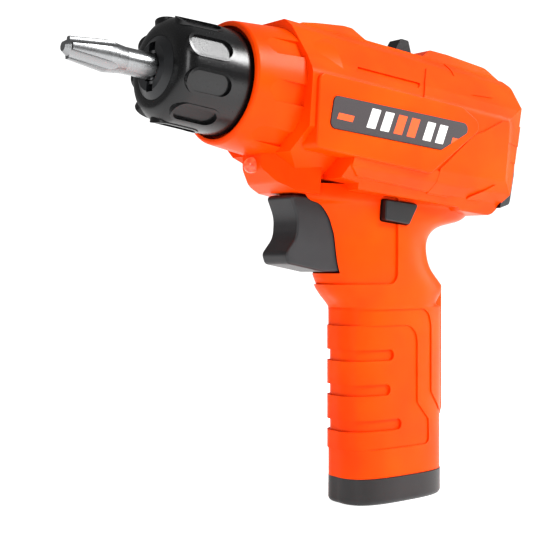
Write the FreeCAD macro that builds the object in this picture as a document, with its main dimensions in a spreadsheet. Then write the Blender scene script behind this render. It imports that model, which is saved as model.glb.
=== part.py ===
"""Toy power drill, in millimetres.

Frame: the origin is the middle of the battery cover's flat underside, +Z is up, +X points
to the chuck and +Y to the drill's left side. The drill stands on the cover. Its barrel is
tilted nose-up, so pieces on the barrel are placed in a barrel frame: "along" runs forward
on the barrel's axis, "across" is +Y, and "above" is square to both, upwards.
"""
import FreeCAD, Part
import math
import os
from types import SimpleNamespace

import Sketcher
from FreeCAD import Placement, Rotation, Vector

doc = FreeCAD.newDocument("ToyDrill")
sheet = doc.addObject("Spreadsheet::Sheet", "Sizes")

SIZES = {
    # barrel frame
    "barrel_tilt": 4.8,
    "barrel_height": 131.0,
    # housing shells
    "wall": 2.0,
    "running_gap": 0.3,
    "shaft_gap": 0.05,
    "nose_front": 72.0,
    "nose_front_radius": 19.3,
    "nose_rear_radius": 22.5,
    "nose_bore": 17.7,
    "nose_bore_depth": 5.0,
    "band_front": 54.0,
    "body_rear": -52.5,
    "body_half_width": 23.2,
    "body_top": 22.8,
    "body_bottom": -28.3,
    "spine_half_width": 9.5,
    "panel_proud": 1.0,
    "badge_thickness": 0.8,
    "badge_recess": 0.5,
    "flute_depth_radius": 19.8,
    "flute_width": 6.6,
    # grip and neck
    "grip_half_length": 22.1,
    "grip_half_width": 11.8,
    "grip_squareness": 3.0,
    "grip_wall": 2.5,
    "neck_base": 66.0,
    "tail_height": 75.8,
    "frame_step": 0.5,
    "pad_swell": 1.1,
    "pad_step": 0.5,
    "neck_step": 0.8,
    "groove_depth": 0.9,
    "groove_height": 3.8,
    "spine_rear": 24.4,
    "nub_radius": 1.1,
    # battery cover and cells
    "cover_height": 9.0,
    "cover_gap": 0.1,
    "cell_radius": 7.15,
    "cell_length": 49.2,
    "cell_floor": 13.0,
    "strip_thickness": 0.4,
    "contact_thickness": 0.8,
    # chuck
    "sleeve_radius": 16.7,
    "sleeve_front": 95.6,
    "sleeve_front_radius": 15.8,
    "sleeve_ring_radius": 10.4,
    "sleeve_bore": 9.7,
    "pocket_length": 14.4,
    "pocket_width": 6.2,
    "pocket_start": 6.8,
    "pocket_depth": 1.2,
    "pocket_rim": 0.25,
    "core_radius": 9.6,
    "core_front": 97.2,
    "core_rear": 70.0,
    "hub_radius": 6.0,
    "hub_rear": 62.0,
    "socket_flats": 8.2,
    "socket_depth": 17.0,
    "clip_thickness": 0.9,
    "clip_width": 3.2,
    # driver bit
    "bit_flats": 8.0,
    "bit_radius": 3.95,
    "bit_flare_radius": 4.7,
    "bit_tip_radius": 3.3,
    "bit_tip": 126.3,
    # drive train
    "gear_module": 0.5,
    "pinion_teeth": 10.0,
    "wheel_teeth": 36.0,
    "tooth_clearance": 0.06,
    "pinion_length": 5.0,
    "wheel_width": 3.0,
    "pinion_two_length": 6.6,
    "spindle_radius": 2.5,
    "lay_axle_radius": 1.0,
    "plate_radius": 17.0,
    "plate_thickness": 2.4,
    "rear_plate": 10.0,
    "nose_bush_radius": 8.0,
    "board_rear": 16.6,
    "board_thickness": 1.6,
    "bush_radius": 4.5,
    "bush_length": 4.0,
    # motor
    "motor_radius": 10.0,
    "motor_flat": 7.6,
    "motor_wall": 0.9,
    "motor_length": 25.0,
    "motor_shaft_radius": 1.0,
    # trigger, switch and slider
    "trigger_half_width": 6.4,
    "trigger_travel": 4.0,
    "window_gap": 0.35,
    "spring_radius": 2.6,
    "spring_wire": 0.3,
    "spring_turns": 3.5,
    "slider_travel": 4.0,
    "slider_half_width": 2.75,
    "slider_rear": -8.8,
    "slider_front": 0.5,
    "slider_foot_length": 17.0,
    "slider_foot_width": 11.0,
    "slider_foot_height": 1.6,
    "slider_foot_rear": -12.6,
    "slider_foot_low": 18.2,
    "lamp_radius": 2.5,
    # fasteners
    "screw_radius": 1.2,
    "screw_head_radius": 2.4,
    "screw_head_height": 1.6,
    "post_radius": 3.0,
}

for row, (alias, number) in enumerate(SIZES.items(), start=1):
    sheet.set(f"A{row}", alias)
    sheet.set(f"B{row}", str(number))
    sheet.setAlias(f"B{row}", alias)
doc.recompute()
d = SimpleNamespace(**{alias: float(sheet.get(alias)) for alias in SIZES})

barrel = Placement(Vector(0, 0, d.barrel_height), Rotation(Vector(0, 1, 0), -d.barrel_tilt))
FORWARD = Rotation(Vector(0, 1, 0), 90)
nodes = []
gear_distance = d.gear_module * (d.pinion_teeth + d.wheel_teeth) / 2

# the cover's screw stands in the gap beside the two cells
cover_post_radius = d.screw_radius + 1.1
cover_screw_y = -d.grip_half_width + d.grip_wall + cover_post_radius - 0.05

# stations of the gear train along the barrel, from the rear plate forwards
pinion_rear = d.rear_plate + d.plate_thickness + 1.0
wheel_one_rear = pinion_rear + 0.4
pinion_two_rear = wheel_one_rear + d.wheel_width
wheel_two_rear = pinion_two_rear + 2.2
front_plate_rear = wheel_two_rear + d.wheel_width + 4.4
can_rear = d.rear_plate - 0.1 - d.motor_length


def on_barrel(along, across, above):
    """Point given in the barrel frame."""
    return barrel.multVec(Vector(along, across, above))


def barrel_direction(along, across, above):
    """Direction given in the barrel frame."""
    return barrel.Rotation.multVec(Vector(along, across, above))


def keep(obj, label):
    """Names a finished sub-part and lists it for export."""
    obj.Label = label
    nodes.append(obj)
    return obj


def solid_feature(shape, label):
    """Sub-part made with Part's own functions."""
    obj = doc.addObject("Part::Feature", label)
    obj.Shape = shape
    return keep(obj, label)


def bound(kind, name, place, **sizes):
    """Part primitive whose sizes follow the sheet."""
    obj = doc.addObject(kind, name)
    for prop, formula in sizes.items():
        obj.setExpression(prop, formula)
    obj.Placement = place
    return obj


def forward(along, across=0.0, above=0.0):
    """Placement on the barrel with local Z pointing forward."""
    return barrel.multiply(Placement(Vector(along, across, above), FORWARD))


def boolean(kind, name, base, tool):
    obj = doc.addObject(kind, name)
    obj.Base = base
    obj.Tool = tool
    return obj


def tube(name, place, outer, inner, length):
    """Round tube between two radii, all three sizes given as formulas."""
    outside = bound("Part::Cylinder", name + "_outside", place, Radius=outer, Height=length)
    inside = bound("Part::Cylinder", name + "_inside", place, Radius=inner, Height=length)
    return boolean("Part::Cut", name + "_tube", outside, inside)


def origin_plane(body, role):
    return [item for item in body.Origin.OriginFeatures if item.Role == role][0]


def new_sketch(body, name, role):
    sketch = body.newObject("Sketcher::SketchObject", name)
    sketch.AttachmentSupport = (origin_plane(body, role), [""])
    sketch.MapMode = "FlatFace"
    return sketch


def outline(body, name, role, corners):
    """Closed sketch of straight sides; each corner is a pair of formulas."""
    sketch = new_sketch(body, name, role)
    spots = [Vector(*[float(sheet.evalExpression(item)) for item in corner], 0) for corner in corners]
    count = len(spots)
    for index in range(count):
        sketch.addGeometry(Part.LineSegment(spots[index], spots[(index + 1) % count]), False)
    for index in range(count):
        sketch.addConstraint(Sketcher.Constraint("Coincident", index, 2, (index + 1) % count, 1))
    for index, corner in enumerate(corners):
        for kind, formula in zip(("DistanceX", "DistanceY"), corner):
            value = float(sheet.evalExpression(formula))
            number = sketch.addConstraint(Sketcher.Constraint(kind, -1, 1, index, 1, value))
            sketch.setExpression(f"Constraints[{number}]", formula)
    return sketch


def disc(body, name, role, radius, centre=("0", "0")):
    """Sketch of one circle; the radius and the centre are formulas."""
    sketch = new_sketch(body, name, role)
    spot = Vector(*[float(sheet.evalExpression(item)) for item in centre], 0)
    size = float(sheet.evalExpression(radius))
    sketch.addGeometry(Part.Circle(spot, Vector(0, 0, 1), size), False)
    number = sketch.addConstraint(Sketcher.Constraint("Radius", 0, size))
    sketch.setExpression(f"Constraints[{number}]", radius)
    for kind, formula in zip(("DistanceX", "DistanceY"), centre):
        value = float(sheet.evalExpression(formula))
        number = sketch.addConstraint(Sketcher.Constraint(kind, -1, 1, 0, 3, value))
        sketch.setExpression(f"Constraints[{number}]", formula)
    return sketch


def pocket(body, name, sketch, length, symmetric=False, reverse=False):
    feature = body.newObject("PartDesign::Pocket", name)
    feature.Profile = sketch
    feature.setExpression("Length", length)
    if symmetric:
        feature.SideType = "Symmetric"
    feature.Reversed = reverse
    return feature


def rounded_wire(corners, locate):
    """Closed wire through (a, b, radius) corners, each rounded by a tangent arc."""
    edges = []
    starts = []
    ends = []
    count = len(corners)
    for index, (a, b, radius) in enumerate(corners):
        here = Vector(a, b, 0)
        before = Vector(corners[index - 1][0], corners[index - 1][1], 0) - here
        after = Vector(corners[(index + 1) % count][0], corners[(index + 1) % count][1], 0) - here
        before.normalize()
        after.normalize()
        if radius == 0:
            starts.append(here)
            ends.append(here)
            continue
        half_angle = before.getAngle(after) / 2
        reach = radius / math.tan(half_angle)
        bisector = before + after
        bisector.normalize()
        centre = here + bisector * (radius / math.sin(half_angle))
        middle = centre - bisector * radius
        first = here + before * reach
        last = here + after * reach
        starts.append(first)
        ends.append(last)
        arc = [locate(spot.x, spot.y) for spot in (first, middle, last)]
        edges.append(Part.Arc(*arc).toShape())
    for index in range(count):
        tail = ends[index]
        head = starts[(index + 1) % count]
        if tail.distanceToPoint(head) > 1e-4:
            edges.append(Part.LineSegment(locate(tail.x, tail.y), locate(head.x, head.y)).toShape())
    return Part.Wire(Part.__sortEdges__(edges))


def prism(corners, locate, sweep):
    """Solid with a rounded outline, swept along one vector."""
    return Part.Face(rounded_wire(corners, locate)).extrude(sweep)


def mirrored(corners):
    """Whole outline from its half with positive first coordinate."""
    return corners + [(-a, b, radius) for a, b, radius in reversed(corners)]


def slot_wire(front, rear, half_width, centre, height, power):
    """Plan of a grip section: a rounded slot from rear to front, widest at its centre."""
    spots = []
    for index in range(24):
        turn = 2 * math.pi * index / 24
        length = front - centre if math.cos(turn) > 0 else centre - rear
        x = abs(math.cos(turn)) ** (2 / power) * math.copysign(length, math.cos(turn))
        y = abs(math.sin(turn)) ** (2 / power) * math.copysign(half_width, math.sin(turn))
        spots.append(Vector(centre + x, y, height))
    curve = Part.BSplineCurve()
    curve.interpolate(spots, PeriodicFlag=True)
    return Part.Wire(curve.toShape())


def slot_prism(front, rear, half_width, low, high):
    wire = slot_wire(front, rear, half_width, 0.0, low, d.grip_squareness)
    return Part.Face(wire).extrude(Vector(0, 0, high - low))


def box_between(low, high):
    size = [high[axis] - low[axis] for axis in range(3)]
    return Part.makeBox(*size, Vector(*low))


def side_prism(corners, half_width):
    """Prism of a side view in the barrel frame, as wide on both sides."""
    return prism(
        corners,
        lambda along, above: on_barrel(along, -half_width, above),
        Vector(0, 2 * half_width, 0),
    )


def upright_prism(corners, half_width):
    """Prism of a side view in the drill's own frame."""
    return prism(corners, lambda x, z: Vector(x, -half_width, z), Vector(0, 2 * half_width, 0))


# ---------------------------------------------------------------- housing shells
# The orange housing is two half shells split on the middle plane. The outside is the nose
# tube, the barrel, the spine on top, the neck and the grip, fused and then cut.

def barrel_section(inset):
    """Half of the barrel's cross-section, from the bottom round to the top."""
    half = d.body_half_width - inset
    bottom = d.body_bottom + inset
    top = d.body_top - inset
    return mirrored([
        (half * 0.66, bottom - 1.5, 3.0),
        (half * 0.78, bottom + 3.0, 3.0),
        (half * 0.94, bottom + 6.5, 3.0),
        (half, bottom + 10.5, 4.0),
        (half, 4.5, 4.0),
        (half * 0.86, top * 0.42, 5.0),
        (half * 0.5, top * 0.88, 6.0),
        (half * 0.34, top, 2.0),
    ])


def barrel_solid(inset):
    """Barrel between the band and the sloping rear edge, less a wall if inset."""
    front = d.band_front - inset
    section = prism(
        barrel_section(inset),
        lambda across, above: on_barrel(d.body_rear - 10, across, above),
        barrel_direction(front - d.body_rear + 10, 0, 0),
    )
    reach = 0 if inset <= 0 else -12.0
    bottom = d.body_bottom + inset
    side = side_prism(
        [
            (front + 5, 40, 0),
            (d.body_rear + 4 + inset + reach, 30 - inset, 0),
            (d.body_rear + reach, 20, 6.0),
            (d.body_rear + 8 + reach, -17, 6.0),
            (d.body_rear + 12 + reach, bottom - 1, 3.0),
            (-24.0, bottom - 1, 0),
            (-22.0, bottom, 0),
            (26.0 - inset, bottom, 0.5),
            (27.0 - inset, bottom + 2.0, 0.5),
            (46.0 - inset, bottom + 3.4, 5.0),
            (front, bottom + 8.6, 2.0),
            (front + 5, bottom + 8.6, 0),
        ],
        40,
    )
    half = d.body_half_width - inset
    plan = prism(
        [
            (front + 5, 30, 0),
            (-25, 30, 0),
            (-25, half + 0.4, 0),
            (-38, half + 0.4, 20.0),
            (d.body_rear - 14, half * 0.55, 0),
            (d.body_rear - 14, -half * 0.55, 0),
            (-38, -half - 0.4, 20.0),
            (-25, -half - 0.4, 0),
            (-25, -30, 0),
            (front + 5, -30, 0),
        ],
        lambda along, across: on_barrel(along, across, -50),
        barrel_direction(0, 0, 100),
    )
    return section.common(side).common(plan)


def spine_solid():
    """Raised spine on the barrel with a front hump and a rear hood."""
    side = side_prism(
        [
            (50.0, 14.0, 0),
            (49.4, 21.2, 1.5),
            (46.5, 23.4, 2.0),
            (40.0, 24.8, 8.0),
            (27.0, 26.9, 8.0),
            (23.2, 26.9, 2.0),
            (18.2, 23.7, 2.5),
            (-9.6, 23.8, 2.0),
            (-14.6, 27.4, 3.0),
            (-24.0, 27.6, 8.0),
            (-44.5, 26.6, 7.0),
            (d.body_rear, 20.8, 4.0),
            (d.body_rear + 3.0, 12.0, 0),
        ],
        20,
    )
    half = d.spine_half_width
    section = prism(
        mirrored([(half + 3.5, 12.0, 0), (half, 20.0, 3.0), (half - 2.5, 24.0, 2.5), (half - 5.0, 29.0, 0)]),
        lambda across, above: on_barrel(d.body_rear - 10, across, above),
        barrel_direction(110, 0, 0),
    )
    return side.common(section)


def grip_solid(inset, low, high):
    half = d.grip_half_length - inset
    return slot_prism(half, -half, d.grip_half_width - inset, low, high)


# neck sections from the grip up into the barrel: height, front, rear, half width, squareness
NECK_SECTIONS = [
    (d.neck_base, d.grip_half_length, -d.grip_half_length, d.grip_half_width, d.grip_squareness),
    (70.0, 26.0, -22.3, 11.9, 2.8),
    (75.0, 30.4, -22.3, 12.1, 2.5),
    (79.0, 32.6, -18.6, 12.3, 2.3),
    (84.0, 34.4, -16.4, 12.4, 2.2),
    (91.0, 35.2, -17.4, 12.4, 2.3),
    (93.5, 35.8, -20.8, 12.4, 2.4),
    (95.2, 36.2, -27.0, 12.4, 2.5),
    (97.5, 37.5, -36.0, 12.4, 2.6),
    (100.5, 40.0, -40.0, 12.4, 3.0),
    (107.0, 47.0, -41.0, 12.4, 3.4),
]


def neck_solid(inset):
    """Neck lofted through its sections; its rear is scooped for the web of the hand."""
    wires = []
    for height, front, rear, half_width, power in NECK_SECTIONS:
        centre = min(4.0, (height - d.neck_base) / 3)
        wires.append(slot_wire(front - inset, rear + inset, half_width - inset, centre, height, power))
    return Part.makeLoft(wires, True, False)


def lamp_boss():
    """Blunt boss under the nose that carries the lamp; it widens towards the neck."""
    side = side_prism(
        [
            (38.0, -16.0, 0),
            (57.8, -19.0, 1.0),
            (57.2, -24.8, 3.0),
            (52.6, -28.8, 4.0),
            (46.0, -31.0, 3.0),
            (38.0, -31.2, 0),
        ],
        16,
    )
    plan = prism(
        [
            (59.0, 3.8, 3.0),
            (50.0, 9.0, 6.0),
            (36.0, 12.0, 0),
            (36.0, -12.0, 0),
            (50.0, -9.0, 6.0),
            (59.0, -3.8, 3.0),
        ],
        lambda along, across: on_barrel(along, across, -40),
        barrel_direction(0, 0, 30),
    )
    return side.common(plan)


nose_length = d.nose_front - 40.0
nose = Part.makeCone(
    d.nose_rear_radius, d.nose_front_radius, nose_length, on_barrel(40.0, 0, 0), barrel_direction(1, 0, 0)
)
front_edges = [edge for edge in nose.Edges if len(edge.Vertexes) == 1 and edge.Length < 2 * math.pi * 20]
nose = nose.makeFillet(1.2, front_edges)

# the flanks behind and above the panel are stepped: regions in side view and their steps
FLANK_REGIONS = [
    (0.6, [(-20, -4, 0), (-25, -2, 0), (-35, 3.3, 1.5), (-70, 4.8, 0), (-70, -3.0, 0), (-38, -4, 1.5),
           (-21.5, -19, 0), (-14, -26, 0), (-4, -26, 0), (-4, -18, 0)]),
    (0.3, [(-14, -26, 0), (-21.5, -19, 0), (-38, -4, 1.5), (-70, -3.0, 0), (-70, -11.0, 0), (-41, -10.0, 1.0),
           (-15.0, -25.4, 0)]),
    (0.5, [(-22.5, -25.6, 0.4), (-31.0, -25.2, 0.4), (-34.2, -19.0, 0.4)]),
    (0.5, [(34.7, -17.0, 0), (34.7, -22.2, 1.0), (29.6, -24.8, 1.0), (-14.0, -25.8, 0), (-8.0, -19.0, 0)]),
    (
        0.5,
        [(-4.4, 17.5, 0), (1.6, 10.6, 0), (6.0, 4.0, 0), (-6.5, 4.0, 0), (-15.0, 12.0, 0), (-19.0, 17.5, 0)],
    ),
    (0.25, [(-6.5, 4.0, 0), (-15.0, 12.0, 0), (-19.0, 17.5, 0), (-20.0, 24.0, 0), (-33.0, 24.0, 0),
            (-36.0, 12.4, 1.0), (-23.0, 11.2, 1.0), (-16.0, 4.0, 0)]),
]
body_block = barrel_solid(0)
plain_block = body_block
for step, region in FLANK_REGIONS:
    body_block = body_block.fuse(barrel_solid(-step).common(side_prism(region, 40)))
bar_slot = side_prism([(34.8, 7.6, 0.3), (32.4, 10.0, 0.3), (3.6, 10.2, 0.3), (5.6, 8.0, 0.3)], 40)
body_block = body_block.cut(bar_slot.cut(barrel_solid(0.6)))
rear_spine = upright_prism(
    [
        (-16.0, 29.0, 0),
        (-d.spine_rear + 0.8, 27.0, 0.5),
        (-d.spine_rear, 29.5, 0.5),
        (-d.spine_rear, d.tail_height - 2.4, 1.0),
        (-22.0, d.tail_height, 0),
        (-16.0, d.tail_height, 0),
    ],
    4.0,
)

grip = grip_solid(0, d.cover_height, d.neck_base)

# The grip's side is stepped: a frame round the back, a field inside it, and a finger pad
# with three grooves, which swells out at the front.
field_corners = [
    (40.0, 65.6, 0),
    (-9.5, 65.6, 5.0),
    (-11.6, 60.0, 3.0),
    (-11.6, 36.6, 1.0),
    (-17.5, 29.6, 0),
    (-34.0, 29.6, 0),
    (-34.0, 0.0, 0),
    (40.0, 0.0, 0),
]
pad_corners = [
    (40.0, 60.2, 0),
    (-4.6, 60.2, 6.0),
    (-4.6, 33.4, 1.0),
    (-10.6, 27.0, 1.5),
    (-10.6, 18.6, 2.0),
    (40.0, 18.6, 0),
]
field_front = d.grip_half_length + 0.2
pad_front = d.grip_half_length + d.pad_swell
field_width = d.grip_half_width - d.frame_step
pad_width = field_width - d.pad_step
field_region = upright_prism(field_corners, 30)
pad_region = upright_prism(pad_corners, 30)
field = slot_prism(field_front, -d.grip_half_length, field_width, d.cover_height, d.neck_base)
pad_block = slot_prism(pad_front, -d.grip_half_length, pad_width, d.cover_height, d.neck_base)
grip = grip.cut(field_region).fuse(field.common(field_region))
grip = grip.cut(pad_region).fuse(pad_block.common(pad_region))
groove_floor = slot_prism(
    pad_front - d.groove_depth, -d.grip_half_length, pad_width - d.groove_depth, 0, d.neck_base
)
for middle, rear in ((50.2, 6.4), (38.5, 7.9), (26.6, 2.8)):
    half = d.groove_height / 2
    groove = upright_prism(
        [
            (40.0, middle + half, 0),
            (rear, middle + half, half * 0.96),
            (rear, middle - half, half * 0.96),
            (40.0, middle - half, 0),
        ],
        30,
    )
    grip = grip.cut(groove.cut(groove_floor))

# the neck's flank is set back in front of the direction button
neck_field = upright_prism(
    [(60.0, 74.1, 0), (6.0, 74.1, 3.5), (6.0, 120.0, 0), (60.0, 120.0, 0)],
    30,
)
neck = neck_solid(0)
neck = neck.cut(neck_field).fuse(neck_solid(d.neck_step).common(neck_field))

outside = body_block
corner_cuts = {}
corner_walls = {}
for side in (1, -1):
    corner_walls[side] = prism(
        [(7.5 * side, -23.3, 0), (24.5 * side, -9.3, 0), (30.0 * side, -32.0, 0), (7.5 * side, -32.0, 0)],
        lambda across, above: on_barrel(35.0 - d.wall, across, above),
        barrel_direction(26.0, 0, 0),
    )
    corner_cuts[side] = prism(
        [(9.0 * side, -24.5, 0), (26.0 * side, -10.5, 0), (26.0 * side, -32.0, 0), (9.0 * side, -32.0, 0)],
        lambda across, above: on_barrel(35.0, across, above),
        barrel_direction(22.0, 0, 0),
    )
    outside = outside.cut(corner_cuts[side])
for piece in (nose, spine_solid(), lamp_boss(), neck, grip, rear_spine):
    outside = outside.fuse(piece)
for level in (65.8, 55.0, 45.2, 35.6):
    outside = outside.fuse(Part.makeSphere(d.nub_radius, Vector(-d.spine_rear + 0.5, 0, level)))

panel_corners = [
    (52.0, 4.2, 2.5),
    (-13.0, 4.6, 4.0),
    (-24.6, -0.4, 3.0),
    (0.6, -20.2, 3.0),
    (51.5, -19.2, 2.0),
]
badge_corners = [
    (45.8, -2.0, 2.0),
    (-14.4, -0.8, 2.0),
    (-17.0, -3.2, 2.0),
    (-3.4, -11.8, 2.0),
    (47.0, -12.4, 2.0),
]
panel_face = d.body_half_width + d.panel_proud

for side in (1, -1):
    panel = prism(
        panel_corners,
        lambda along, above: on_barrel(along, side * (d.body_half_width - 6), above),
        Vector(0, side * (6 + d.panel_proud), 0),
    )
    rim = [edge for edge in panel.Edges if abs(abs(edge.CenterOfMass.y) - panel_face) < 1e-3]
    panel = panel.makeFillet(0.6, rim)
    if side < 0:
        panel = panel.cut(corner_cuts[side])
    outside = outside.fuse(panel)
    recess = prism(
        badge_corners,
        lambda along, above: on_barrel(along, side * (panel_face - d.badge_recess), above),
        Vector(0, side * 3, 0),
    )
    outside = outside.cut(recess)
    for turn in (33.0, -9.5, -52.0):
        radius = d.flute_width / 2
        front = d.nose_front - 2.0
        flute = prism(
            [
                (d.band_front, -radius, 0),
                (d.band_front, radius, 0),
                (front, radius, radius * 0.98),
                (front, -radius, radius * 0.98),
            ],
            lambda along, across: Vector(along, across, d.flute_depth_radius),
            Vector(0, 0, 8),
        )
        flute.rotate(Vector(0, 0, 0), Vector(1, 0, 0), -90 * side + turn * side)
        flute.Placement = barrel.multiply(flute.Placement)
        outside = outside.cut(flute)

hollow = barrel_solid(d.wall)
nose_hollow = Part.makeCone(
    d.nose_front_radius - 2.2,
    d.nose_front_radius - 2.6,
    26.0,
    on_barrel(44.0, 0, 0),
    barrel_direction(1, 0, 0),
)
nose_bore = Part.makeCylinder(
    d.nose_bore,
    d.nose_bore_depth + 1,
    on_barrel(d.nose_front - d.nose_bore_depth, 0, 0),
    barrel_direction(1, 0, 0),
)
grip_hollow = grip_solid(d.grip_wall, 0, d.neck_base)
for side in (1, -1):
    hollow = hollow.cut(corner_walls[side])
hollows = [hollow, nose_hollow, nose_bore, grip_hollow, neck_solid(d.wall)]

# window for the trigger, with guide walls left and right of it
trigger_window = box_between(
    (24.0, -d.trigger_half_width - d.window_gap, 77.8), (50.0, d.trigger_half_width + d.window_gap, 103.6)
)
button_corners = [(13.4, 95.6, 0.8), (13.0, 102.6, 0.8), (-2.6, 101.4, 0.8), (1.8, 94.3, 0.8)]


def grown(corners, gap):
    """Outline moved outwards from its middle by a gap on every side."""
    middle_a = sum(corner[0] for corner in corners) / len(corners)
    middle_b = sum(corner[1] for corner in corners) / len(corners)
    result = []
    for a, b, radius in corners:
        result.append((
            a + 1.3 * gap * math.copysign(1, a - middle_a),
            b + gap * math.copysign(1, b - middle_b),
            radius + gap,
        ))
    return result


button_window = upright_prism(grown(button_corners, d.window_gap), 30)
slider_window = Part.makeBox(
    d.slider_front - d.slider_rear + d.slider_travel + 2 * d.window_gap,
    2 * d.slider_half_width + 2 * d.window_gap,
    16.0,
    Vector(d.slider_rear - d.slider_travel / 2 - d.window_gap, -d.slider_half_width - d.window_gap, 14.0),
)
slider_window.Placement = barrel
lamp_place = on_barrel(57.5, 0, -23.8)
lamp_axis = barrel_direction(0.94, 0, -0.34)
lamp_hole = Part.makeCylinder(d.lamp_radius + 0.02, 16.0, lamp_place - lamp_axis * 12, lamp_axis)

shell = outside
for room in hollows + [trigger_window, button_window, lamp_hole]:
    shell = shell.cut(room)

# posts where the housing screws pull the halves together
post_spots = [
    on_barrel(61.5, 0, -13.6),
    on_barrel(-34.0, 0, 14.0),
    on_barrel(-33.0, 0, -16.5),
    Vector(0.0, 0, 71.0),
]
for spot in post_spots:
    reach = d.body_half_width if spot.z > 100 else d.grip_half_width
    reach = reach - 1.0 if spot.x < 40 else 14.5
    post = Part.makeCylinder(d.post_radius, 2 * reach, spot - Vector(0, reach, 0), Vector(0, 1, 0))
    shell = shell.fuse(post.common(outside))


def rib(start, length, bore):
    """Ring rib across the barrel's hollow that locates a piece on the axis."""
    slab = Part.makeBox(length, 80, 80, Vector(start, -40, -40))
    slab.Placement = barrel
    ring = barrel_solid(d.wall - 0.4).common(slab)
    core = Part.makeCylinder(bore, length + 2, on_barrel(start - 1, 0, 0), barrel_direction(1, 0, 0))
    return ring.cut(core)


plate_rib = 1.2
for start in (d.rear_plate, front_plate_rear):
    plate_slot = Part.makeCylinder(
        d.plate_radius + 0.05,
        d.plate_thickness + 0.1,
        on_barrel(start - 0.05, 0, 0),
        barrel_direction(1, 0, 0),
    )
    holder = rib(start - plate_rib, d.plate_thickness + 2 * plate_rib, d.plate_radius - 1.5).cut(plate_slot)
    shell = shell.fuse(holder)
wheel_room = Part.makeCylinder(
    d.gear_module * (d.wheel_teeth / 2 + 1) + 0.6,
    d.wheel_width + 2.0,
    on_barrel(wheel_one_rear - 1.0, 0, -gear_distance),
    barrel_direction(1, 0, 0),
)
shell = shell.cut(wheel_room)
for start in (can_rear + 2.0, can_rear + d.motor_length - 7.0):
    shell = shell.fuse(rib(start, 2.4, d.motor_radius + 0.1))
slider_room = Part.makeBox(
    d.slider_foot_length + d.slider_travel + 1.0,
    d.slider_foot_width + 2 * d.window_gap,
    d.slider_foot_height + 2 * d.window_gap,
    Vector(
        d.slider_foot_rear - d.slider_travel / 2 - 0.5,
        -d.slider_foot_width / 2 - d.window_gap,
        d.slider_foot_low - d.window_gap,
    ),
)
slider_room.Placement = barrel
shell = shell.cut(slider_room).cut(slider_window)
nose_rib = Part.makeCylinder(
    d.nose_front_radius - 1.5, 3.0, on_barrel(d.hub_rear + 1.5, 0, 0), barrel_direction(1, 0, 0)
)
nose_rib = nose_rib.cut(Part.makeCylinder(
    d.nose_bush_radius + 0.02, 5.0, on_barrel(d.hub_rear + 0.5, 0, 0), barrel_direction(1, 0, 0)
))
shell = shell.fuse(nose_rib)
board_low = (d.board_rear, -8.0, 80.0)
board_high = (d.board_rear + d.board_thickness, 8.0, 101.0)
board_room = box_between([item - 0.05 for item in board_low], [item + 0.05 for item in board_high])
for low in (81.5, 96.5):
    for side in (1, -1):
        rail = box_between(
            (d.board_rear - 1.4, min(6.8 * side, 12.0 * side), low),
            (d.board_rear + d.board_thickness + 1.4, max(6.8 * side, 12.0 * side), low + 2.5),
        )
        shell = shell.fuse(rail.common(outside).cut(board_room))

screw_ends = []
for spot in post_spots:
    reach = d.body_half_width if spot.z > 100 else d.grip_half_width
    head = 9.0 if spot.z > 100 else 6.0
    head_hole = Part.makeCylinder(
        d.screw_head_radius + 0.2, 40, Vector(spot.x, -head, spot.z), Vector(0, -1, 0)
    )
    shank_hole = Part.makeCylinder(
        d.screw_radius + 0.02, head + 7.0, Vector(spot.x, -head, spot.z), Vector(0, 1, 0)
    )
    shell = shell.cut(head_hole).cut(shank_hole)
    screw_ends.append((spot, head))


cover_post = Part.makeCylinder(cover_post_radius, 13.0, Vector(0, cover_screw_y, d.cover_height))
cover_thread = Part.makeCylinder(d.screw_radius + 0.02, 11.0, Vector(0, cover_screw_y, d.cover_height))
shell = shell.fuse(cover_post).cut(cover_thread)

left_half = shell.common(box_between((-200, 0, -10), (200, 100, 300)))
right_half = shell.common(box_between((-200, -100, -10), (200, 0, 300)))
for half, label in ((left_half, "housing_left"), (right_half, "housing_right")):
    biggest = max(half.Solids, key=lambda item: item.Volume)
    solid_feature(biggest, label)

screws = []
for spot, head in screw_ends:
    seat = Vector(spot.x, -head, spot.z)
    shank = Part.makeCylinder(d.screw_radius, head + 6.0, seat, Vector(0, 1, 0))
    cap = Part.makeCylinder(d.screw_head_radius, d.screw_head_height, seat, Vector(0, -1, 0))
    slot = box_between(
        (spot.x - 2.0, -head - d.screw_head_height - 0.1, spot.z - 0.35),
        (spot.x + 2.0, -head - 0.9, spot.z + 0.35),
    )
    slot_two = box_between(
        (spot.x - 0.35, -head - d.screw_head_height - 0.1, spot.z - 2.0),
        (spot.x + 0.35, -head - 0.9, spot.z + 2.0),
    )
    screws.append(shank.fuse(cap).cut(slot).cut(slot_two).removeSplitter())
solid_feature(Part.Compound(screws), "housing_screws")

for side, label in ((1, "side_badge_left"), (-1, "side_badge_right")):
    badge = prism(
        grown(badge_corners, -0.12),
        lambda along, above: on_barrel(along, side * (panel_face - d.badge_recess), above),
        Vector(0, side * d.badge_thickness, 0),
    )
    solid_feature(badge, label)


# ---------------------------------------------------------------- rear cap
# Black vented cap that closes the back of the barrel, domed and slotted.

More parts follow.
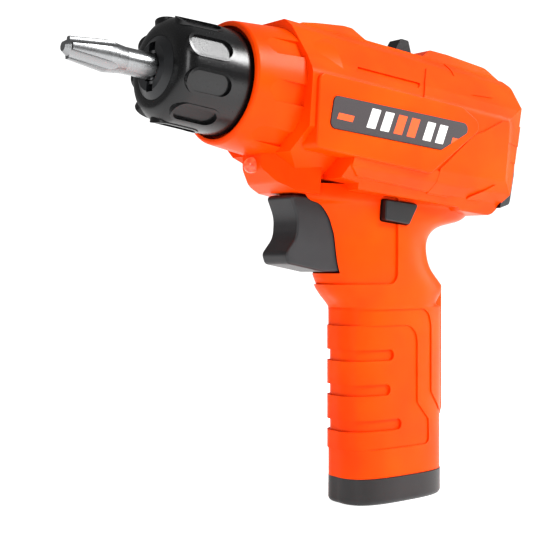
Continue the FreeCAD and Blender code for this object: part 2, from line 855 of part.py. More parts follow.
def cap_block(inset, rear):
    """Solid behind the housing's rear edge, shrunk to the cap's rim."""
    side = side_prism(
        [
            (d.body_rear + 3.0, 16.2 - inset, 0),
            (d.body_rear - 1.0, 16.4 - inset, 2.0),
            (rear + inset, 9.5 - inset, 4.0),
            (rear + 0.5 + inset, -0.4 + inset, 0.3),
            (rear + 2.6 + inset, -0.8 + inset, 0.3),
            (rear + 3.2 + inset, -12.0, 8.0),
            (rear + 7.0 + inset, -23.6 + inset, 3.5),
            (d.body_rear + 11.5, -26.6 + inset, 0),
        ],
        30,
    )
    half = d.body_half_width - 2.6 - inset
    plan = prism(
        [
            (10.0, half, 0),
            (-38.0, half, 14.0),
            (rear + inset, half * 0.52, 6.0),
            (rear + inset, -half * 0.52, 6.0),
            (-38.0, -half, 14.0),
            (10.0, -half, 0),
        ],
        lambda along, across: on_barrel(along, across, -50),
        barrel_direction(0, 0, 100),
    )
    return side.common(plan)


cap_rear = d.body_rear - 7.0
rear_cap = cap_block(0, cap_rear).cut(plain_block)
rear_cap = rear_cap.cut(cap_block(1.8, cap_rear))
for level in range(5):
    slot = Part.makeBox(16.0, 18.0, 2.0, Vector(cap_rear - 4.0, -9.0, -13.0 + 5.0 * level))
    slot.Placement = barrel
    rear_cap = rear_cap.cut(slot)
solid_feature(max(rear_cap.Solids, key=lambda item: item.Volume), "rear_cap")

# ---------------------------------------------------------------- battery cover and cells
cover_top = d.cover_height - d.cover_gap
cover = slot_prism(
    d.grip_half_length, -d.grip_half_length, d.grip_half_width - 0.1, 0.0, cover_top
)
foot = [edge for edge in cover.Edges if abs(edge.CenterOfMass.z) < 1e-3]
cover = cover.makeFillet(1.6, foot)
rim_inset = d.grip_wall + 0.25
rim = grip_solid(rim_inset, cover_top - 0.5, cover_top + 2.5)
cover = cover.fuse(rim)
tray = grip_solid(rim_inset + 1.6, 3.0, cover_top + 3.0)
cover = cover.cut(tray)
pillar = Part.makeCylinder(3.2, cover_top - 3.0, Vector(0, cover_screw_y, 2.5))
cover = cover.fuse(pillar)
head_floor = d.screw_head_height + 0.6
screw_hole = Part.makeCylinder(d.screw_radius + 0.05, 20, Vector(0, cover_screw_y, -1))
screw_seat = Part.makeCylinder(d.screw_head_radius + 0.2, head_floor + 1, Vector(0, cover_screw_y, -1))
post_room = Part.makeCylinder(cover_post_radius + d.running_gap, 20, Vector(0, cover_screw_y, cover_top))
for room in (screw_hole, screw_seat, post_room):
    cover = cover.cut(room)
solid_feature(cover, "battery_cover")

cover_screw = Part.makeCylinder(d.screw_radius, 15.0, Vector(0, cover_screw_y, head_floor))
cover_screw = cover_screw.fuse(Part.makeCylinder(
    d.screw_head_radius, d.screw_head_height, Vector(0, cover_screw_y, head_floor - d.screw_head_height)
))
for size in ((4.0, 0.7), (0.7, 4.0)):
    cross = Part.makeBox(size[0], size[1], 0.9, Vector(-size[0] / 2, cover_screw_y - size[1] / 2, 0.5))
    cover_screw = cover_screw.cut(cross)
solid_feature(cover_screw.removeSplitter(), "cover_screw")

cell_spacing = 2 * d.cell_radius + 0.6
for side, label in ((1, "cell_front"), (-1, "cell_rear")):
    can_place = Placement(Vector(side * cell_spacing / 2, 0, d.cell_floor), Rotation())
    can = bound(
        "Part::Cylinder", label + "_can", can_place, Radius="Sizes.cell_radius", Height="Sizes.cell_length"
    )
    end = d.cell_floor + d.cell_length if side > 0 else d.cell_floor - 1.3
    button_place = Placement(Vector(side * cell_spacing / 2, 0, end), Rotation())
    button = bound("Part::Cylinder", label + "_button", button_place, Radius="2.6", Height="1.3")
    keep(boolean("Part::Fuse", label + "_cell", can, button), label)


def coil(radius, wire, low, turns, pitch):
    """Closed coil of round wire along +Z."""
    path = Part.makeHelix(pitch, pitch * turns, radius)
    path.translate(Vector(0, 0, low))
    ring = Part.Wire(Part.Circle(Vector(radius, 0, low), Vector(0, 1, 0), wire).toShape())
    return Part.Wire(path).makePipeShell([ring], True, True)


link = box_between((-12.0, -4.0, 10.0), (12.0, 4.0, 10.0 + d.strip_thickness))
bump = Part.makeCylinder(2.0, d.cell_floor - 11.6, Vector(-cell_spacing / 2, 0, 10.3))
solid_feature(link.fuse(bump), "battery_link_plate")
upper = d.cell_floor + d.cell_length
for side, label in ((1, "battery_contact_front"), (-1, "battery_contact_rear")):
    plate_low = upper + 1.35
    middle = side * cell_spacing / 2
    plate = box_between((middle - 4.5, -4.5, plate_low), (middle + 4.5, 4.5, plate_low + d.strip_thickness))
    solid_feature(plate, label)


def contact_cup(label, side, low, high, wide, narrow):
    """Springy metal cup that presses on a cell's flat end."""
    base = Vector(side * cell_spacing / 2, 0, low)
    cup = Part.makeCone(wide, narrow, high - low, base)
    room = Part.makeCone(wide - d.strip_thickness, narrow - d.strip_thickness, high - low, base)
    solid_feature(cup.cut(room), label)


link_top = 10.0 + d.strip_thickness
contact_cup("battery_spring_front", 1, link_top, d.cell_floor, 3.8, 2.6)
contact_cup("battery_spring_rear", -1, upper, upper + 1.35, 2.6, 3.4)
solid_feature(grip_solid(d.grip_wall, upper + 1.75, upper + 3.6), "battery_top_plate")

# ---------------------------------------------------------------- chuck
sleeve = doc.addObject("PartDesign::Body", "ChuckSleeve")
sleeve_sketch = outline(sleeve, "SleeveProfile", "XZ_Plane", [
    ("Sizes.nose_front - 3", "Sizes.sleeve_bore"),
    ("Sizes.nose_front - 3", "Sizes.sleeve_radius - 1.2"),
    ("Sizes.nose_front - 0.4", "Sizes.sleeve_radius - 1.2"),
    ("Sizes.nose_front - 0.4", "Sizes.sleeve_radius"),
    ("Sizes.sleeve_front", "Sizes.sleeve_front_radius"),
    ("Sizes.sleeve_front", "Sizes.sleeve_bore"),
])
sleeve_turn = sleeve.newObject("PartDesign::Revolution", "SleeveTurn")
sleeve_turn.Profile = sleeve_sketch
sleeve_turn.ReferenceAxis = (sleeve_sketch, ["H_Axis"])
sleeve_turn.Angle = 360
sleeve.Placement = barrel
doc.recompute()


def front_ring(feature, place):
    """Name of the outer edge on the front face of a turned piece."""
    best = None
    for number, edge in enumerate(feature.Shape.Edges, start=1):
        if len(edge.Vertexes) != 1:
            continue
        key = (round(edge.CenterOfMass.x, 3), edge.Length)
        if best is None or key > best[0]:
            best = (key, f"Edge{number}")
    return best[1]


shoulder = sleeve.newObject("PartDesign::Fillet", "SleeveShoulder")
shoulder.Base = (sleeve_turn, [front_ring(sleeve_turn, barrel)])
shoulder.setExpression("Radius", "Sizes.sleeve_front_radius - Sizes.sleeve_ring_radius")
doc.recompute()


def shifted(sketch, formula):
    """Moves a sketch along its plane's normal by a formula."""
    sketch.AttachmentOffset = Placement(Vector(0, 0, float(sheet.evalExpression(formula))), Rotation())
    sketch.setExpression("AttachmentOffset.Base.z", formula)
    return sketch


# nine oblong pockets with a low rim, cut into the turned sleeve
turned = shoulder.Shape.copy()
turned.Placement = Placement()
sleeve_hollow = Part.makeCylinder(
    d.sleeve_front_radius - d.pocket_depth - 1.2, 20.0, Vector(d.nose_front - 4, 0, 0), Vector(1, 0, 0)
).cut(Part.makeCylinder(d.sleeve_bore + 1.8, 24.0, Vector(d.nose_front - 5, 0, 0), Vector(1, 0, 0)))
turned = turned.cut(sleeve_hollow)
sleeve_slope = (d.sleeve_radius - d.sleeve_front_radius) / (d.sleeve_front - d.nose_front)
sleeve_lean = math.degrees(math.atan(sleeve_slope))
rim_drum = Part.makeCone(
    d.sleeve_radius + d.pocket_rim, d.sleeve_front_radius + d.pocket_rim, d.sleeve_front - d.nose_front,
    Vector(d.nose_front, 0, 0), Vector(1, 0, 0),
)
pocket_cuts = ((0.9, d.sleeve_front_radius - 1.5), (0.0, d.sleeve_front_radius - d.pocket_depth + 0.3))
for margin, floor in pocket_cuts:
    half = d.pocket_width / 2 + margin
    start = d.nose_front + d.pocket_start - margin
    end = start + d.pocket_length + 2 * margin
    for number in range(9):
        oblong = prism(
            [
                (start, -half, half * 0.99),
                (start, half, half * 0.99),
                (end, half, half * 0.99),
                (end, -half, half * 0.99),
            ],
            lambda along, across: Vector(along, across, floor),
            Vector(0, 0, 6),
        )
        if margin == 0:
            oblong.rotate(Vector(d.sleeve_front, 0, floor), Vector(0, 1, 0), sleeve_lean)
        oblong.rotate(Vector(0, 0, 0), Vector(1, 0, 0), 40.0 * number - 28.0)
        turned = turned.fuse(oblong.common(rim_drum)) if margin > 0 else turned.cut(oblong)
turned.Placement = barrel
solid_feature(turned, "chuck_sleeve")

core = doc.addObject("PartDesign::Body", "ChuckCore")
core_sketch = outline(core, "CoreProfile", "XZ_Plane", [
    ("Sizes.hub_rear", "0"),
    ("Sizes.hub_rear", "Sizes.hub_radius"),
    ("Sizes.core_rear", "Sizes.hub_radius"),
    ("Sizes.core_rear", "Sizes.core_radius"),
    ("Sizes.core_front - 1.6", "Sizes.core_radius"),
    ("Sizes.core_front", "Sizes.core_radius - 2.4"),
    ("Sizes.core_front", "0"),
])
core_turn = core.newObject("PartDesign::Revolution", "CoreTurn")
core_turn.Profile = core_sketch
core_turn.ReferenceAxis = (core_sketch, ["H_Axis"])
core_turn.Angle = 360
half = "Sizes.socket_flats / 2"
corner = "Sizes.socket_flats / 2 / cos(30)"
socket = outline(core, "SocketOutline", "YZ_Plane", [
    (f"{corner}", "0"),
    (f"{corner} / 2", half),
    (f"-{corner} / 2", half),
    (f"-{corner}", "0"),
    (f"-{corner} / 2", f"-{half}"),
    (f"{corner} / 2", f"-{half}"),
])
shifted(socket, "Sizes.core_front")
pocket(core, "Socket", socket, "Sizes.socket_depth")
for name, sign in (("UpperSlot", "1"), ("LowerSlot", "-1")):
    slot = outline(core, name + "Outline", "YZ_Plane", [
        ("-Sizes.clip_width / 2", f"{sign} * 3.4"),
        ("Sizes.clip_width / 2", f"{sign} * 3.4"),
        ("Sizes.clip_width / 2", f"{sign} * 7.4"),
        ("-Sizes.clip_width / 2", f"{sign} * 7.4"),
    ])
    shifted(slot, "Sizes.core_front")
    pocket(core, name, slot, "Sizes.socket_depth - 2")
bore = disc(core, "SpindleBore", "YZ_Plane", "Sizes.spindle_radius + 0.01")
shifted(bore, "Sizes.hub_rear")
pocket(core, "SpindleSocket", bore, "8.2", reverse=True)
core.Placement = barrel
doc.recompute()
keep(core, "chuck_core")

clip_arms = []
for side in (1, -1):
    arm = Part.makeBox(
        d.socket_depth - 3.0, d.clip_width - 0.3, d.clip_thickness,
        Vector(
            d.core_front - d.socket_depth + 2.4,
            -(d.clip_width - 0.3) / 2,
            4.6 * side - d.clip_thickness / 2,
        ),
    )
    arm.Placement = barrel
    clip_arms.append(arm)
solid_feature(Part.Compound(clip_arms), "bit_clip")

# ---------------------------------------------------------------- driver bit
# Steel bit: six-sided shank in the socket, round neck, cross point with four flutes.
shank_rear = d.core_front - d.socket_depth + 0.3
flat_up = Placement(Vector(0, 0, 0), Rotation(Vector(0, 0, 1), 30))
hexagon = bound(
    "Part::Prism",
    "BitShank",
    forward(shank_rear).multiply(flat_up),
    Circumradius="Sizes.bit_flats / 2 / cos(30)",
    Height="11",
)
hexagon.Polygon = 6
neck_rear = shank_rear + 11
round_neck = bound("Part::Cylinder", "BitNeck", forward(neck_rear), Radius="Sizes.bit_radius", Height="15.4")
flare_rear = neck_rear + 15.4
flare = bound(
    "Part::Cone",
    "BitFlare",
    forward(flare_rear),
    Radius1="Sizes.bit_radius",
    Radius2="Sizes.bit_flare_radius",
    Height="6",
)
nose_rear = flare_rear + 6
taper_length = d.bit_tip - 1.6 - nose_rear
taper = bound(
    "Part::Cone",
    "BitTaper",
    forward(nose_rear),
    Radius1="Sizes.bit_flare_radius",
    Radius2="Sizes.bit_tip_radius",
)
taper.Height = taper_length
point = bound(
    "Part::Cone",
    "BitPoint",
    forward(d.bit_tip - 1.6),
    Radius1="Sizes.bit_tip_radius - 0.9",
    Radius2="1.4",
    Height="1.6",
)
blank = doc.addObject("Part::MultiFuse", "BitBlank")
blank.Shapes = [hexagon, round_neck, flare, taper, point]
flutes = []
for quarter in range(4):
    turn = Rotation(Vector(1, 0, 0), 45 + 90 * quarter)
    flute_place = barrel.multiply(Placement(Vector(0, 0, 0), turn)).multiply(
        Placement(Vector(d.bit_tip + 1.0, 0, 4.2), Rotation(Vector(0, 1, 0), -82))
    )
    flutes.append(bound("Part::Cylinder", f"BitFlute{quarter}", flute_place, Radius="2.3", Height="26"))
flute_set = doc.addObject("Part::MultiFuse", "BitFlutes")
flute_set.Shapes = flutes
doc.recompute()
bit = keep(boolean("Part::Cut", "DriverBit", blank, flute_set), "driver_bit")

# ---------------------------------------------------------------- drive train
def gear_face(teeth, start):
    """Spur gear outline about the X axis; start is the angle of the first tooth."""
    pitch = d.gear_module * teeth / 2
    base = pitch * math.cos(math.radians(20))
    tip = pitch + 0.92 * d.gear_module
    root = pitch - 1.2 * d.gear_module
    half_tooth = (math.pi * d.gear_module / 2 - d.tooth_clearance) / 2 / pitch
    roll = math.tan(math.radians(20)) - math.radians(20)
    spots = []
    for tooth in range(int(teeth)):
        middle = start + 2 * math.pi * tooth / teeth
        flank = []
        for step in range(5):
            radius = root + (tip - root) * step / 4
            angle = math.acos(min(1.0, base / radius))
            flank.append((radius, half_tooth + roll - (math.tan(angle) - angle)))
        for radius, spread in flank:
            spots.append((radius, middle - spread))
        for radius, spread in reversed(flank):
            spots.append((radius, middle + spread))
    points = [Vector(0, radius * math.cos(turn), radius * math.sin(turn)) for radius, turn in spots]
    return Part.Face(Part.makePolygon(points + [points[0]]))


def gear(teeth, rear, width, below, start):
    blank = gear_face(teeth, start).extrude(Vector(width, 0, 0))
    blank.translate(Vector(rear, 0, -below))
    blank.Placement = barrel.multiply(blank.Placement)
    return blank


def rod(rear, length, radius, below=0.0):
    return Part.makeCylinder(radius, length, on_barrel(rear, 0, -below), barrel_direction(1, 0, 0))


half_turn = math.pi / 2
gap = math.pi / d.wheel_teeth
motor_pinion = gear(d.pinion_teeth, pinion_rear, d.pinion_length, 0, -half_turn)
motor_pinion = motor_pinion.cut(rod(pinion_rear - 1, d.pinion_length + 2, d.motor_shaft_radius))
solid_feature(motor_pinion, "motor_pinion")

wheel_one = gear(d.wheel_teeth, wheel_one_rear, d.wheel_width, gear_distance, half_turn + gap)
pinion_two = gear(d.pinion_teeth, pinion_two_rear, d.pinion_two_length, gear_distance, half_turn)
lay_bore = rod(wheel_one_rear - 1, 16.0, d.lay_axle_radius + d.shaft_gap, gear_distance)
solid_feature(wheel_one.fuse(pinion_two).cut(lay_bore), "lay_gear")
solid_feature(
    rod(d.rear_plate, front_plate_rear + d.plate_thickness - d.rear_plate, d.lay_axle_radius, gear_distance),
    "lay_axle",
)

wheel_two = gear(d.wheel_teeth, wheel_two_rear, d.wheel_width, 0, -half_turn + gap)
wheel_two = wheel_two.cut(rod(wheel_two_rear - 1, d.wheel_width + 2, d.spindle_radius))
solid_feature(wheel_two, "output_wheel")

spindle = rod(wheel_two_rear - 0.2, d.hub_rear + 8.0 - wheel_two_rear + 0.2, d.spindle_radius)
collar = rod(wheel_two_rear + d.wheel_width, 3.6, d.spindle_radius + 1.4)
solid_feature(spindle.fuse(collar), "output_spindle")

front_bush = tube(
    "FrontBush", forward(front_plate_rear), "Sizes.bush_radius", "Sizes.spindle_radius + Sizes.shaft_gap",
    "Sizes.bush_length",
)
keep(front_bush, "spindle_bush")
nose_bush = tube(
    "NoseBush", forward(d.hub_rear + 1.0), "Sizes.nose_bush_radius", "Sizes.hub_radius + Sizes.shaft_gap",
    "Sizes.bush_length",
)
keep(nose_bush, "nose_bush")

post_places = ((10.5, 7.5), (-10.5, 7.5), (12.2, -4.5), (-12.2, -4.5))
rear_plate = rod(d.rear_plate, d.plate_thickness, d.plate_radius)
rear_plate = rear_plate.cut(rod(d.rear_plate - 1, d.plate_thickness + 2, 3.05))
post_length = front_plate_rear - d.rear_plate - d.plate_thickness
gear_screws = []
for across, above in post_places:
    foot_spot = on_barrel(d.rear_plate + d.plate_thickness, across, above)
    rear_plate = rear_plate.fuse(Part.makeCylinder(2.2, post_length, foot_spot, barrel_direction(1, 0, 0)))
for across, above in post_places:
    hole_spot = on_barrel(front_plate_rear - 7.0, across, above)
    rear_plate = rear_plate.cut(Part.makeCylinder(1.0, 7.1, hole_spot, barrel_direction(1, 0, 0)))
    stem = Part.makeCylinder(1.0, 6.0 + d.plate_thickness, on_barrel(front_plate_rear - 6.0, across, above),
                             barrel_direction(1, 0, 0))
    head = Part.makeCylinder(1.9, 1.2, on_barrel(front_plate_rear + d.plate_thickness, across, above),
                             barrel_direction(1, 0, 0))
    gear_screws.append(stem.fuse(head))
rear_plate = rear_plate.cut(rod(d.rear_plate - 1, d.plate_thickness + 2, d.lay_axle_radius, gear_distance))
solid_feature(rear_plate, "gearbox_rear_plate")
front_plate = rod(front_plate_rear, d.plate_thickness, d.plate_radius)
front_plate = front_plate.cut(rod(front_plate_rear - 1, d.plate_thickness + 2, d.bush_radius))
lay_hole = rod(front_plate_rear - 1, d.plate_thickness + 2, d.lay_axle_radius, gear_distance)
front_plate = front_plate.cut(lay_hole)
for across, above in post_places:
    hole_spot = on_barrel(front_plate_rear - 1, across, above)
    front_plate = front_plate.cut(Part.makeCylinder(1.0, 5, hole_spot, barrel_direction(1, 0, 0)))
solid_feature(front_plate, "gearbox_front_plate")
solid_feature(Part.Compound(gear_screws), "gearbox_screws")

# ---------------------------------------------------------------- motor
can = rod(can_rear, d.motor_length, d.motor_radius)
flats = Part.makeBox(60, 40, 2 * d.motor_flat, Vector(can_rear - 10, -20, -d.motor_flat))
flats.Placement = barrel
can = can.common(flats).fuse(rod(d.rear_plate - 0.2, 1.8, 3.0))
can = can.cut(rod(can_rear - 1, d.motor_length + 6, d.motor_shaft_radius + d.shaft_gap))
inner_flat = d.motor_flat - d.motor_wall
inner_flats = Part.makeBox(60, 40, 2 * inner_flat, Vector(can_rear - 10, -20, -inner_flat))
inner_flats.Placement = barrel
inner_room = rod(can_rear - 1, d.motor_length + 1 - d.motor_wall, d.motor_radius - d.motor_wall)
can = can.cut(inner_room.common(inner_flats))
solid_feature(can, "motor_can")
bell = rod(can_rear - 3.0, 3.0, d.motor_radius - 0.3).common(flats)
bell = bell.fuse(rod(can_rear - 4.4, 1.6, 2.6))
bell = bell.cut(rod(can_rear - 6, 8, d.motor_shaft_radius + d.shaft_gap))
solid_feature(bell, "motor_end_bell")
shaft_length = pinion_rear + d.pinion_length - can_rear + 5.0
solid_feature(rod(can_rear - 5.0, shaft_length, d.motor_shaft_radius), "motor_shaft")
armature = rod(can_rear + 3.0, d.motor_length - 8.0, d.motor_flat - d.motor_wall - 0.9)
armature = armature.cut(rod(can_rear, d.motor_length, d.motor_shaft_radius))
solid_feature(armature, "motor_armature")
tabs = []
for side in (1, -1):
    tab = Part.makeBox(3.4, 0.4, 2.0, Vector(can_rear - 6.4, 6.0 * side - 0.2, -1.0))
    tab.Placement = barrel
    tabs.append(tab)
solid_feature(Part.Compound(tabs), "motor_terminals")

# ---------------------------------------------------------------- trigger
trigger_low = 78.3
trigger = upright_prism(
    [
        (27.0, 102.6, 1.0),
        (48.6, 103.2, 1.2),
        (45.4, 96.0, 10.0),
        (45.8, 89.6, 7.0),
        (50.4, 84.2, 2.2),
        (49.2, 80.9, 1.8),
        (34.0, trigger_low, 2.0),
        (27.0, trigger_low, 1.0),
    ],
    d.trigger_half_width,
)
finger_edges = []
for edge in trigger.Edges:
    middle = edge.CenterOfMass
    if abs(abs(middle.y) - d.trigger_half_width) < 1e-3 and middle.x > 44.0 and middle.z < 102.5:
        finger_edges.append(edge)
trigger = trigger.makeFillet(0.9, finger_edges)
spring_seat = Part.makeCylinder(d.spring_radius + 0.6, 3.0, Vector(26.9, 0, 86.0), Vector(1, 0, 0))
trigger = trigger.cut(spring_seat)
contact_rear = d.board_rear + d.board_thickness + d.strip_thickness + d.trigger_travel + d.running_gap
contact_front = contact_rear + d.contact_thickness
tongue = box_between((contact_front, -2.0, 92.0), (28.0, 2.0, 95.0))
trigger = trigger.fuse(tongue)
solid_feature(trigger, "trigger")
spring_length = 29.9 - d.board_rear - d.board_thickness
turns = d.spring_turns
pitch = (spring_length - 2 * d.spring_wire) / turns
trigger_spring = coil(d.spring_radius, d.spring_wire, d.spring_wire, turns, pitch)
trigger_spring.Placement = Placement(
    Vector(d.board_rear + d.board_thickness, 0, 86.0), FORWARD
).multiply(trigger_spring.Placement)
solid_feature(trigger_spring, "trigger_spring")
solid_feature(box_between((contact_rear, -1.6, 92.3), (contact_front, 1.6, 97.5)), "moving_contact")
solid_feature(box_between(board_low, board_high), "switch_board")
fixed = []
for side in (1, -1):
    fixed.append(box_between(
        (d.board_rear + d.board_thickness, 2.6 * side - 1.4, 90.0),
        (d.board_rear + d.board_thickness + d.strip_thickness, 2.6 * side + 1.4, 99.0),
    ))
solid_feature(Part.Compound(fixed), "fixed_contacts")

# ---------------------------------------------------------------- direction button and top slider
button_reach = 12.4 + 1.4
button = upright_prism(button_corners, button_reach)
button_rim = [edge for edge in button.Edges if abs(abs(edge.CenterOfMass.y) - button_reach) < 1e-3]
solid_feature(button.makeFillet(0.5, button_rim), "direction_button")

slider = side_prism(
    [
        (d.slider_rear, 19.6, 0),
        (d.slider_rear + 0.2, 24.0, 0.5),
        (d.slider_rear + 2.4, 29.4, 0.8),
        (d.slider_front - 3.2, 29.4, 0.8),
        (d.slider_front - 0.2, 24.0, 0.5),
        (d.slider_front, 19.6, 0),
    ],
    d.slider_half_width,
)
foot_plate = Part.makeBox(
    d.slider_foot_length,
    d.slider_foot_width,
    d.slider_foot_height,
    Vector(d.slider_foot_rear, -d.slider_foot_width / 2, d.slider_foot_low),
)
foot_plate.Placement = barrel
solid_feature(slider.fuse(foot_plate), "top_slider")

# ---------------------------------------------------------------- lamp
lens_length = 5.0
half_round = d.lamp_radius * math.sqrt(0.5)
lens_edges = [
    Part.LineSegment(Vector(0, 0, 0), Vector(d.lamp_radius, 0, 0)).toShape(),
    Part.LineSegment(Vector(d.lamp_radius, 0, 0), Vector(d.lamp_radius, 0, lens_length)).toShape(),
    Part.Arc(
        Vector(d.lamp_radius, 0, lens_length),
        Vector(half_round, 0, lens_length + half_round),
        Vector(0, 0, lens_length + d.lamp_radius),
    ).toShape(),
    Part.LineSegment(Vector(0, 0, lens_length + d.lamp_radius), Vector(0, 0, 0)).toShape(),
]
lens = Part.Face(Part.Wire(lens_edges)).revolve(Vector(0, 0, 0), Vector(0, 0, 1), 360)
lens.Placement = Placement(lamp_place - lamp_axis * lens_length, Rotation(Vector(0, 0, 1), lamp_axis))
solid_feature(lens, "lamp_lens")
leads = []
for side in (1, -1):
    root_spot = lamp_place - lamp_axis * 11.1 + Vector(0, 1.27 * side, 0)
    leads.append(Part.makeCylinder(0.25, 6.0, root_spot, lamp_axis))
solid_feature(Part.Compound(leads), "lamp_leads")

doc.recompute()
os.makedirs("parts", exist_ok=True)
for obj in nodes:
    bad = [state for state in obj.State if state in ("Invalid", "Error")]
    if bad or obj.Shape.isNull() or not obj.Shape.isValid():
        raise RuntimeError(f"{obj.Label} failed: {obj.State}")
    obj.Shape.exportStep(f"parts/{obj.Label}.step")
print("sub-parts", len(nodes))
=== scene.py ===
"""Toy power drill: the looks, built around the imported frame, in metres."""
import math

import bpy
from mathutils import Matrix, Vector

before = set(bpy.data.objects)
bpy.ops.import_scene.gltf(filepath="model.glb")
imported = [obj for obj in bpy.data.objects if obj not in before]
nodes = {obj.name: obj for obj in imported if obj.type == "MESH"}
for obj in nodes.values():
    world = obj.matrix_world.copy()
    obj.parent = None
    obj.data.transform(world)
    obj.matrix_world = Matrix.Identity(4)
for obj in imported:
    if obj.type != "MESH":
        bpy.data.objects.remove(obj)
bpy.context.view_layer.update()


# ------------------------------------------------------------ orange housing shells
# Two half shells of injection-moulded ABS, screwed together on the middle plane. The
# mould was spark-eroded to a fine satin, so highlights are broad and a little uneven.

def linear(code):
    """Linear colour of an sRGB hex value."""
    result = []
    for start in (0, 2, 4):
        value = int(code[start:start + 2], 16) / 255
        result.append(value / 12.92 if value <= 0.04045 else ((value + 0.055) / 1.055) ** 2.4)
    return (*result, 1.0)


def add(tree, kind, settings=None, values=None, links=None):
    """Node with its settings, its unlinked values and its links from other nodes' outputs."""
    node = tree.nodes.new(kind)
    for name, value in (settings or {}).items():
        setattr(node, name, value)
    for name, value in (values or {}).items():
        node.inputs[name].default_value = value
    for name, output in (links or {}).items():
        tree.links.new(output, node.inputs[name])
    return node


def blank_material(name):
    """Material without nodes, and its tree."""
    material = bpy.data.materials.new(name)
    material.use_nodes = True
    material.node_tree.nodes.clear()
    return material, material.node_tree


def tone_ramp(tree, factor, dark, light, dark_end=0.3, light_end=0.75):
    """Colour between two hex tones, and the ends of the factor's range where each is full."""
    ramp = add(tree, "ShaderNodeValToRGB", links={"Fac": factor})
    for element, code, end in zip(ramp.color_ramp.elements, (dark, light), (dark_end, light_end)):
        element.position = end
        element.color = linear(code)
    return ramp.outputs["Color"]


def join_surface(tree, shader):
    """Joins a shader to the material's surface."""
    add(tree, "ShaderNodeOutputMaterial", links={"Surface": shader.outputs["BSDF"]})


def paint(material, *names):
    """Gives CAD nodes one material."""
    for name in names:
        mesh = nodes[name].data
        mesh.materials.clear()
        mesh.materials.append(material)


# ABS, satin: the grain spreads the highlight, and the flow of the melt bends it slightly
orange_abs, tree = blank_material("orange_ABS_satin_moulded")
place = add(tree, "ShaderNodeTexCoord").outputs["Object"]
# the real grain is about 0.05 mm, too fine to show, so it is drawn 0.6 mm coarse
GRAIN_SIZE = 0.0006
grain = add(tree, "ShaderNodeTexNoise", values={"Scale": 1 / GRAIN_SIZE, "Detail": 3.0, "Roughness": 0.6},
            links={"Vector": place}).outputs["Fac"]
# sink marks and flow lines are broad waves about 18 mm across
FLOW_SIZE = 0.018
flow = add(tree, "ShaderNodeTexNoise", values={"Scale": 1 / FLOW_SIZE, "Detail": 2.0},
           links={"Vector": place}).outputs["Fac"]
gloss = add(tree, "ShaderNodeMapRange", values={"To Min": 0.30, "To Max": 0.42}, links={"Value": grain})
grain_bump = add(tree, "ShaderNodeBump", values={"Strength": 0.12, "Distance": 0.00004},
                 links={"Height": grain})
flow_bump = add(tree, "ShaderNodeBump", values={"Strength": 0.25, "Distance": 0.0002},
                links={"Height": flow, "Normal": grain_bump.outputs["Normal"]})
shader = add(
    tree,
    "ShaderNodeBsdfPrincipled",
    values={
        "IOR": 1.53,
        "Specular IOR Level": 0.1,
        "Subsurface Weight": 0.04,
        "Subsurface Scale": 0.0015,
        "Subsurface Radius": (1.0, 0.35, 0.1),
    },
    links={
        "Base Color": tone_ramp(tree, flow, "E84400", "F25000"),
        "Roughness": gloss.outputs["Result"],
        "Normal": flow_bump.outputs["Normal"],
    },
)
join_surface(tree, shader)
paint(orange_abs, "housing_left", "housing_right")


# ------------------------------------------------------------ chuck sleeve and core
# The turned-looking sleeve and the core inside it are moulded in black ABS. The sleeve's
# mould is polished more than the core's, so it shows a sharper highlight.

def moulded_plastic(name, dark, light, roughness, grain_mm, depth):
    """Moulded plastic: its tone drifts between two colours, and a fine grain breaks its gloss."""
    drift_size = 0.012
    material, tree = blank_material(name)
    place = add(tree, "ShaderNodeTexCoord").outputs["Object"]
    grain = add(tree, "ShaderNodeTexNoise", values={"Scale": 1000 / grain_mm, "Detail": 3.0},
                links={"Vector": place}).outputs["Fac"]
    drift = add(tree, "ShaderNodeTexNoise", values={"Scale": 1 / drift_size, "Detail": 2.0},
                links={"Vector": place}).outputs["Fac"]
    gloss = add(tree, "ShaderNodeMapRange",
                values={"To Min": roughness - 0.06, "To Max": roughness + 0.08}, links={"Value": grain})
    bump = add(tree, "ShaderNodeBump", values={"Strength": 0.3, "Distance": depth}, links={"Height": grain})
    shader = add(
        tree,
        "ShaderNodeBsdfPrincipled",
        values={"IOR": 1.5},
        links={
            "Base Color": tone_ramp(tree, drift, dark, light),
            "Roughness": gloss.outputs["Result"],
            "Normal": bump.outputs["Normal"],
        },
    )
    join_surface(tree, shader)
    return material


sleeve_black = moulded_plastic("black_ABS_satin_sleeve", "0C0C0D", "141415", 0.24, 0.5, 0.00003)
paint(sleeve_black, "chuck_sleeve")
core_black = moulded_plastic("dark_grey_ABS_core", "17181A", "232426", 0.34, 0.5, 0.00004)
paint(core_black, "chuck_core")


# ------------------------------------------------------------ covers, buttons and plates
# The rear cap, battery cover, button, slider and the plates inside are black ABS with a
# textured mould face, which gives them a duller highlight than the sleeve.

cover_black = moulded_plastic("black_ABS_textured_cover", "121213", "1A1A1B", 0.38, 0.6, 0.00005)
paint(cover_black, "rear_cap", "battery_cover", "battery_top_plate", "direction_button", "top_slider",
      "gearbox_rear_plate", "gearbox_front_plate", "nose_bush", "motor_end_bell")


# ------------------------------------------------------------ trigger
# Polypropylene, softer and greyer than the ABS around it. A coarse mould texture leaves it
# almost matt.

trigger_grey = moulded_plastic("grey_polypropylene_matt", "222224", "2C2C2E", 0.42, 0.45, 0.00006)
paint(trigger_grey, "trigger")


# ------------------------------------------------------------ gears, switch board and cells
# Undyed nylon gears look waxy and off-white. The board is brown phenolic paper, dull, and
# the cells wear a smooth dark printed sleeve.

